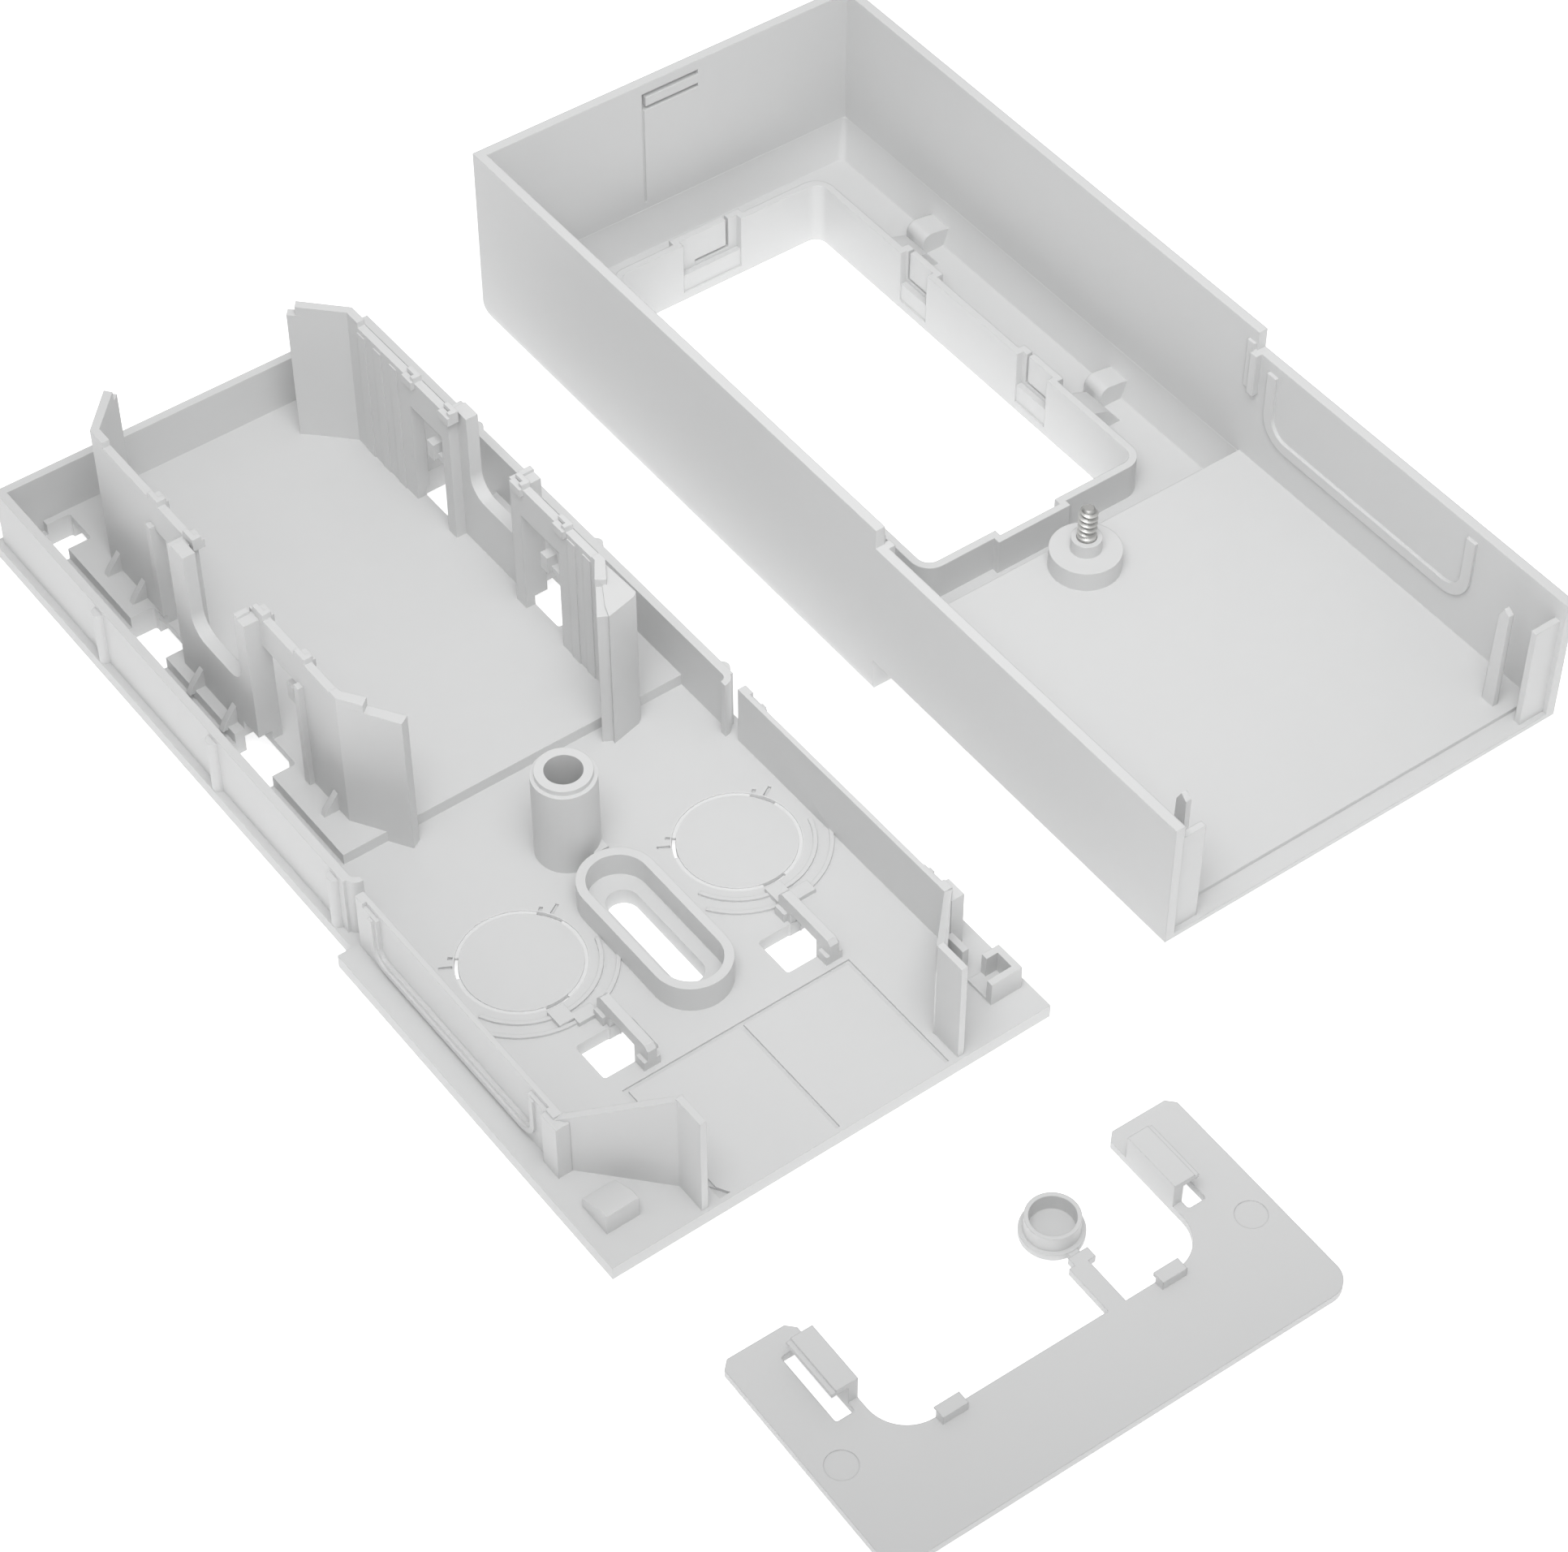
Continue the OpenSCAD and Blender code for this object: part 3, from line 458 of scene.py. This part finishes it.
def set_input(modifier, label, value):
    """Sets a geometry nodes input by its socket's identifier."""
    for item in modifier.node_group.interface.items_tree:
        if item.item_type == "SOCKET" and item.in_out == "INPUT" and item.name == label:
            modifier[item.identifier] = value
            return
    raise RuntimeError("no input named " + label)


def dress_node(node, material):
    """Gives a carried-over CAD piece its finish and smooth round walls."""
    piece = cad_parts[node]
    piece.data.materials.clear()
    piece.data.materials.append(material)
    modifier = piece.modifiers.new("Joined and smoothed", "NODES")
    modifier.node_group = smoothing_tree()
    set_input(modifier, "Smooth Angle", bpy.context.scene.base_plastic.smooth_angle)
    return piece


def as_plain_mesh(carrier, name):
    """The evaluated carrier as a new plain mesh piece; the carrier goes."""
    bpy.context.view_layer.update()
    depsgraph = bpy.context.evaluated_depsgraph_get()
    mesh = bpy.data.meshes.new_from_object(carrier.evaluated_get(depsgraph),
                                           preserve_all_data_layers=True, depsgraph=depsgraph)
    mesh.name = name
    bpy.data.objects.remove(carrier, do_unlink=True)
    piece = bpy.data.objects.new(name, mesh)
    bpy.context.scene.collection.objects.link(piece)
    return piece


def lathe(points, centre, steps):
    """Closed round mesh from (radius, height) points; nought radius closes an end."""
    bm = bmesh.new()
    rings = []
    for radius, height in points:
        if radius <= 0:
            rings.append([bm.verts.new((centre[0], centre[1], height))])
            continue
        rings.append([bm.verts.new((centre[0] + radius * math.cos(2 * math.pi * i / steps),
                                    centre[1] + radius * math.sin(2 * math.pi * i / steps), height))
                      for i in range(steps)])
    for low, high in zip(rings, rings[1:]):
        for i in range(steps):
            j = (i + 1) % steps
            if len(low) == 1:
                bm.faces.new((low[0], high[j], high[i]))
            elif len(high) == 1:
                bm.faces.new((low[i], low[j], high[0]))
            else:
                bm.faces.new((low[i], low[j], high[j], high[i]))
    bmesh.ops.recalc_face_normals(bm, faces=bm.faces)
    return bm


def hood_point(x, y, z):
    """Point inside the hood, given in its own millimetres and a height in metres."""
    turned = Matrix.Rotation(HOOD_TURN, 3, "Z") @ Vector((x * MM, y * MM, 0))
    corner = Vector((HOOD_LOW.x, HOOD_LOW.y - HOOD_WIDTH * MM * math.sin(HOOD_TURN), 0))
    return corner + turned + Vector((0, 0, z))


def rounded_loop(box, inset, radius, steps=6):
    """Corner points of a rectangle drawn in by an inset, corners rounded, in millimetres."""
    x0, y0, x1, y1 = box[0] + inset, box[1] + inset, box[2] - inset, box[3] - inset
    corners = ((x1 - radius, y1 - radius, 0), (x0 + radius, y1 - radius, 90),
               (x0 + radius, y0 + radius, 180), (x1 - radius, y0 + radius, 270))
    loop = []
    for x, y, start in corners:
        for i in range(steps + 1):
            a = math.radians(start + 90 * i / steps)
            loop.append((x + radius * math.cos(a), y + radius * math.sin(a)))
    return loop


def plain_piece(name, bm, material, angle):
    """A mesh piece at the origin, faces outward, round stretches shaded smooth."""
    bmesh.ops.recalc_face_normals(bm, faces=bm.faces)
    for face in bm.faces:
        face.smooth = True
    for edge in bm.edges:
        if len(edge.link_faces) == 2 and edge.calc_face_angle(0) > angle:
            edge.smooth = False
    mesh = bpy.data.meshes.new(name)
    bm.to_mesh(mesh)
    bm.free()
    mesh.materials.append(material)
    piece = bpy.data.objects.new(name, mesh)
    bpy.context.scene.collection.objects.link(piece)
    return piece


# operators


class BASE_OT_stage(Operator):
    """Sets the pale floor, the soft studio lights and the camera"""

    bl_idname = "mounting_base.stage"
    bl_label = "Set the Stage"

    def execute(self, context):
        s = context.scene.base_stage
        scene = context.scene
        scene.view_settings.view_transform = "Standard"
        self.floor(s)
        self.surround(scene, s)
        self.lamp("Top light", (0.04, 0.10, 1.35), (0.04, 0.06, 0.0), 1.5, s.top_power)
        self.lamp("Cover light", (-0.05, -0.08, 0.42), (0.12, 0.11, 0.02), 0.3, s.cover_power, 80.0)
        data = bpy.data.cameras.new("Camera")
        data.sensor_fit = "HORIZONTAL"
        data.sensor_width = 36.0
        data.lens = s.camera_lens
        data.clip_start = 0.02
        data.clip_end = 20.0
        camera = bpy.data.objects.new("Camera", data)
        turn = Vector(s.camera_look).normalized().to_track_quat("-Z", "Y").to_matrix().to_4x4()
        camera.matrix_world = Matrix.Translation(Vector(s.camera_place)) @ turn
        scene.collection.objects.link(camera)
        scene.camera = camera
        return {"FINISHED"}

    def floor(self, s):
        """Pale table that shows white to the camera and keeps the soft shadow of the pieces."""
        low = CAD_BOX[0][2] - FLOOR_DROP
        far = FLOOR_HALF
        mesh = bpy.data.meshes.new("Floor")
        mesh.from_pydata([(-far, -far, low), (far, -far, low), (far, far, low), (-far, far, low)],
                         [], [(0, 1, 2, 3)])
        floor = bpy.data.objects.new("Floor", mesh)
        bpy.context.scene.collection.objects.link(floor)
        material = bpy.data.materials.new("Pale floor")
        material.use_nodes = True
        material.node_tree.nodes.clear()
        t = Tree(material.node_tree)
        path = t.node("ShaderNodeLightPath").outputs
        seen = t.math("MAXIMUM", t.math("MAXIMUM", path["Is Camera Ray"], path["Is Glossy Ray"]),
                      path["Is Transmission Ray"])
        tone = s.floor_tone
        matt = t.node("ShaderNodeBsdfDiffuse", Color=(tone, tone, tone, 1))
        lift = t.node("ShaderNodeEmission", Color=(1, 1, 1, 1),
                      Strength=t.math("MULTIPLY_ADD", seen, s.floor_lift, s.floor_glow))
        both = t.node("ShaderNodeAddShader", i0=matt.outputs[0], i1=lift.outputs[0])
        t.node("ShaderNodeOutputMaterial", Surface=both.outputs[0])
        mesh.materials.append(material)

    def surround(self, scene, s):
        """Even light from all sides, white where it is seen or mirrored."""
        world = bpy.data.worlds.new("Surround")
        scene.world = world
        world.use_nodes = True
        world.node_tree.nodes.clear()
        t = Tree(world.node_tree)
        path = t.node("ShaderNodeLightPath").outputs
        seen = t.math("MAXIMUM", t.math("MAXIMUM", path["Is Camera Ray"], path["Is Glossy Ray"]),
                      path["Is Transmission Ray"])
        even = t.node("ShaderNodeBackground", Color=(1, 1, 1, 1), Strength=s.sky)
        white = t.node("ShaderNodeBackground", Color=(1, 1, 1, 1), Strength=1.0)
        mixed = t.node("ShaderNodeMixShader", i0=seen, i1=even.outputs[0], i2=white.outputs[0])
        t.node("ShaderNodeOutputWorld", Surface=mixed.outputs[0])

    def lamp(self, name, place, aim, size, power, spread=180.0):
        """Round soft lamp, turned to its aim, spread in degrees."""
        data = bpy.data.lights.new(name, "AREA")
        data.spread = math.radians(spread)
        data.shape = "DISK"
        data.size = size
        data.energy = power
        lamp = bpy.data.objects.new(name, data)
        lamp.visible_camera = False
        look = (Vector(aim) - Vector(place)).normalized()
        lamp.matrix_world = (Matrix.Translation(Vector(place))
                             @ look.to_track_quat("-Z", "Y").to_matrix().to_4x4())
        bpy.context.scene.collection.objects.link(lamp)


class BASE_OT_tray(Operator):
    """Finishes the tray with its insert holders and knock-outs"""

    bl_idname = "mounting_base.tray"
    bl_label = "Finish the Tray"

    def execute(self, context):
        dress_node("mounting_base", plastic_material("Tray plastic", tone=1.0, edge_share=0.5,
                                                     webs=KNOCKOUTS))
        return {"FINISHED"}


class BASE_OT_cover(Operator):
    """Finishes the upturned cover hood"""

    bl_idname = "mounting_base.cover"
    bl_label = "Finish the Cover Hood"

    def execute(self, context):
        dress_node("cover_hood", plastic_material("Cover plastic", tone=1.0, cloud=0.03))
        return {"FINISHED"}


class BASE_OT_ledge(Operator):
    """Lays the flat ledge round the hood's window and its guide blocks"""

    bl_idname = "mounting_base.ledge"
    bl_label = "Lay the Window Ledge"

    def execute(self, context):
        s = context.scene.base_ledge
        angle = context.scene.base_plastic.smooth_angle
        material = plastic_material("Cover plastic", cloud=0.03)
        pieces = [plain_piece("hood_window_ledge", self.frame(s), material, angle)]
        for number, (start, end) in enumerate(GUIDE_BLOCKS, 1):
            for side, name in ((1, "right"), (-1, "left")):
                bm = self.block(s, start, end, side)
                pieces.append(plain_piece(f"hood_guide_block_{name}_{number}", bm, material, angle))
        for piece in pieces:
            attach(piece, "set")
        return {"FINISHED"}

    def frame(self, s):
        """Closed ring: under side inside the hood's floor, flat top, steep foot up to the walls."""
        level = s.level / MM
        # each row is an inset from the walls and a height; the first two follow the window
        rows = [(None, FLOOR_MIDDLE), (None, level)]
        for i in range(9):
            left = 1 - i / 8
            rows.append((s.foot / MM * left ** 1.5, level + s.rise / MM * (1 - left)))
        rows.append((SHELL_CENTRE_IN - SHELL_ROUND, level + s.rise / MM))
        for i in range(6):
            a = math.radians(90 - 18 * i)
            rows.append((SHELL_CENTRE_IN - SHELL_ROUND * math.sin(a),
                         SHELL_CENTRE_UP - SHELL_ROUND * math.cos(a)))
        bm = bmesh.new()
        rings = []
        for inset, height in rows:
            if inset is None:
                loop = rounded_loop(HOOD_WINDOW, -OVERLAP, 2.8)
            else:
                # the corners open a little with the inset
                loop = rounded_loop(HOOD_ROOM, inset, 0.5 + 0.3 * (inset + 1.2))
            rings.append([bm.verts.new(hood_point(x, y, height * MM)) for x, y in loop])
        for a, b in zip(rings, rings[1:] + rings[:1]):
            for i in range(len(a)):
                j = (i + 1) % len(a)
                bm.faces.new((a[i], a[j], b[j], b[i]))
        return bm

    def block(self, s, start, end, side):
        """Small block between ledge and wall, its upper inner edge rounded."""
        wall = HOOD_ROOM[2] + OVERLAP
        face = HOOD_ROOM[2] - s.block_reach / MM
        top = s.block_top / MM
        r = s.block_round / MM
        low = s.level / MM - 2 * OVERLAP
        outline = [(wall, low), (face, low), (face, top - r)]
        for i in range(1, 7):
            a = math.radians(180 - 15 * i)
            outline.append((face + r + r * math.cos(a), top - r + r * math.sin(a)))
        outline += [(wall - 2.5, top - 0.4), (wall, top - 1.0)]
        bm = bmesh.new()
        ends = []
        for y in (start, end):
            ends.append([bm.verts.new(hood_point(x if side > 0 else HOOD_WIDTH - x, y, z * MM))
                         for x, z in outline])
        bm.faces.new(ends[0])
        bm.faces.new(reversed(ends[1]))
        for i in range(len(outline)):
            j = (i + 1) % len(outline)
            bm.faces.new((ends[0][i], ends[0][j], ends[1][j], ends[1][i]))
        return bm


class BASE_OT_plate(Operator):
    """Finishes the closing plate and the cap on its sprue"""

    bl_idname = "mounting_base.plate"
    bl_label = "Finish the Closing Plate"

    def execute(self, context):
        dress_node("closing_plate", plastic_material("Plate plastic", tone=1.01, cloud=0.025))
        return {"FINISHED"}


class BASE_OT_screw(Operator):
    """Turns the cover screw with its running thread"""

    bl_idname = "mounting_base.screw"
    bl_label = "Cut the Cover Screw"

    def execute(self, context):
        s = context.scene.base_screw
        low = SCREW_LOW.z
        high = SCREW_HIGH.z - TIP_DROP
        centre = (SCREW_X, SCREW_Y)
        head = (SCREW_HIGH.x - SCREW_LOW.x) / 2
        shank_top = SCREW_HIGH.z - THREAD_LENGTH
        core = s.core
        points = [
            (0, low + 1.2 * MM), (0.9 * MM, low + 0.9 * MM), (1.5 * MM, low),
            (head - 0.6 * MM, low + 0.12 * MM), (head, low + 0.9 * MM), (head, low + 1.9 * MM),
            (head - 0.15 * MM, low + HEAD_HEIGHT), (s.radius, low + HEAD_HEIGHT),
            (s.radius, shank_top), (core, shank_top + 0.45 * MM),
            (core, high - 0.7 * MM), (core * 0.92, high - 0.25 * MM), (core * 0.7, high), (0, high)]
        body = bpy.data.objects.new("screw_body", bpy.data.meshes.new("screw_body"))
        bm = lathe(points, centre, 64)
        bm.to_mesh(body.data)
        bm.free()
        context.scene.collection.objects.link(body)
        self.recess(context, body, centre, low)
        thread = self.thread(context, centre, shank_top + 0.3 * MM, high - 0.3 * MM)
        screw = self.joined(body, thread)
        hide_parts("cover_screw")
        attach(screw, "screw")
        return {"FINISHED"}

    def recess(self, context, body, centre, low):
        """Cross recess in the head, cut with a tapered cross."""
        bm = bmesh.new()
        for turn in (0.0, math.pi / 2):
            arm = [(1.75, -0.36), (1.75, 0.36), (-1.75, 0.36), (-1.75, -0.36)]
            rings = []
            for scale, height in ((1.06, low - 1.0 * MM), (1.0, low), (0.5, low + 1.7 * MM)):
                rings.append([bm.verts.new((
                    centre[0] + (x * scale * math.cos(turn) - y * math.sin(turn)) * MM,
                    centre[1] + (x * scale * math.sin(turn) + y * math.cos(turn)) * MM, height))
                    for x, y in arm])
            bm.faces.new(rings[0])
            bm.faces.new(reversed(rings[-1]))
            for a, b in zip(rings, rings[1:]):
                for i in range(4):
                    j = (i + 1) % 4
                    bm.faces.new((a[i], b[i], b[j], a[j]))
        bmesh.ops.recalc_face_normals(bm, faces=bm.faces)
        cutter = bpy.data.objects.new("recess_cutter", bpy.data.meshes.new("recess_cutter"))
        bm.to_mesh(cutter.data)
        bm.free()
        context.scene.collection.objects.link(cutter)
        cut = body.modifiers.new("Recess", "BOOLEAN")
        cut.operation = "DIFFERENCE"
        cut.solver = "EXACT"
        cut.use_self = True
        cut.object = cutter
        context.view_layer.update()
        depsgraph = context.evaluated_depsgraph_get()
        mesh = bpy.data.meshes.new_from_object(body.evaluated_get(depsgraph), depsgraph=depsgraph)
        body.modifiers.clear()
        body.data = mesh
        bpy.data.objects.remove(cutter, do_unlink=True)

    def thread(self, context, centre, low, high):
        """Thread ridge swept along a spiral by geometry nodes."""
        s = context.scene.base_screw
        tree = bpy.data.node_groups.new("Screw thread", "GeometryNodeTree")
        tree.interface.new_socket("Geometry", in_out="INPUT", socket_type="NodeSocketGeometry")
        for label in ("Root Radius", "Crest Radius", "Pitch", "Ridge Width", "Length"):
            tree.interface.new_socket(label, in_out="INPUT", socket_type="NodeSocketFloat")
        tree.interface.new_socket("Steps", in_out="INPUT", socket_type="NodeSocketInt")
        tree.interface.new_socket("Centre", in_out="INPUT", socket_type="NodeSocketVector")
        tree.interface.new_socket("Material", in_out="INPUT", socket_type="NodeSocketMaterial")
        tree.interface.new_socket("Geometry", in_out="OUTPUT", socket_type="NodeSocketGeometry")
        t = Tree(tree)
        source = tree.nodes.new("NodeGroupInput").outputs
        turns = t.math("DIVIDE", source["Length"], source["Pitch"])
        spiral = t.node("GeometryNodeCurveSpiral", Resolution=source["Steps"], Rotations=turns,
                        Start_Radius=source["Root Radius"], End_Radius=source["Root Radius"],
                        Height=source["Length"])
        # the ridge runs out to nothing at both ends
        along = t.node("GeometryNodeSplineParameter").outputs["Factor"]
        ends = t.math("MINIMUM", along, t.math("SUBTRACT", 1.0, along))
        fade = t.math("MULTIPLY", ends, 9.0, clamp=True)
        upright = t.node("GeometryNodeSetCurveNormal", set_mode="Z_UP", Curve=spiral.outputs[0])
        # four-sided ridge: half of it stands out of the core, half lies inside
        depth = t.math("SUBTRACT", source["Crest Radius"], source["Root Radius"])
        half = t.math("MULTIPLY", source["Ridge Width"], 0.5)
        ridge = t.node("GeometryNodeCurvePrimitiveCircle", Resolution=4, Radius=1.0)
        size = t.node("ShaderNodeCombineXYZ", X=depth, Y=half, Z=1.0)
        shaped = t.node("GeometryNodeTransform", Geometry=ridge.outputs[0], Scale=size.outputs[0])
        swept = t.node("GeometryNodeCurveToMesh", Curve=upright.outputs[0],
                       Profile_Curve=shaped.outputs[0], Scale=fade, Fill_Caps=True)
        moved = t.node("GeometryNodeTransform", Geometry=swept.outputs[0], Translation=source["Centre"])
        real = t.node("GeometryNodeRealizeInstances", Geometry=moved.outputs[0])
        coated = t.node("GeometryNodeSetMaterial", Geometry=real.outputs[0],
                        Material=source["Material"])
        end = tree.nodes.new("NodeGroupOutput")
        tree.links.new(coated.outputs[0], end.inputs[0])
        carrier = bpy.data.objects.new("thread_carrier", bpy.data.meshes.new("thread_carrier"))
        context.scene.collection.objects.link(carrier)
        modifier = carrier.modifiers.new("Screw thread", "NODES")
        modifier.node_group = tree
        for label, value in (("Root Radius", s.core), ("Crest Radius", s.radius),
                             ("Pitch", s.pitch), ("Ridge Width", s.ridge), ("Length", high - low),
                             ("Steps", s.steps), ("Centre", (centre[0], centre[1], low)),
                             ("Material", screw_material())):
            set_input(modifier, label, value)
        return as_plain_mesh(carrier, "cover_screw_thread")

    def joined(self, body, thread):
        """Body and thread as one piece, its faces outward."""
        bm = bmesh.new()
        bm.from_mesh(body.data)
        bm.from_mesh(thread.data)
        bmesh.ops.remove_doubles(bm, verts=bm.verts, dist=0.000001)
        bpy.data.objects.remove(body, do_unlink=True)
        bpy.data.objects.remove(thread, do_unlink=True)
        return plain_piece("cover_screw_turned", bm, screw_material(), math.radians(35))


class BASE_PT_panel(Panel):
    """Lists the steps that finish the mounting base"""

    bl_label = "Mounting Base"
    bl_idname = "BASE_PT_panel"
    bl_space_type = "VIEW_3D"
    bl_region_type = "UI"
    bl_category = "Mounting Base"

    def draw(self, context):
        for step in STEPS:
            self.layout.operator(step.bl_idname)
        for group in ("base_stage", "base_plastic", "base_ledge", "base_screw"):
            box = self.layout.box()
            settings = getattr(context.scene, group)
            for name in settings.__annotations__:
                box.prop(settings, name)


STEPS = (BASE_OT_stage, BASE_OT_tray, BASE_OT_cover, BASE_OT_ledge, BASE_OT_plate, BASE_OT_screw)
GROUPS = (("base_stage", StageSettings), ("base_plastic", PlasticSettings),
          ("base_ledge", LedgeSettings), ("base_screw", ScrewSettings))


def register():
    for name, group in GROUPS:
        bpy.utils.register_class(group)
        setattr(bpy.types.Scene, name, PointerProperty(type=group))
    for step in STEPS:
        bpy.utils.register_class(step)
    bpy.utils.register_class(BASE_PT_panel)


def unregister():
    bpy.utils.unregister_class(BASE_PT_panel)
    for step in reversed(STEPS):
        bpy.utils.unregister_class(step)
    for name, group in reversed(GROUPS):
        delattr(bpy.types.Scene, name)
        bpy.utils.unregister_class(group)


def main():
    register()
    for step in STEPS:
        area, action = step.bl_idname.split(".")
        getattr(getattr(bpy.ops, area), action)()


if __name__ == "__main__":
    main()
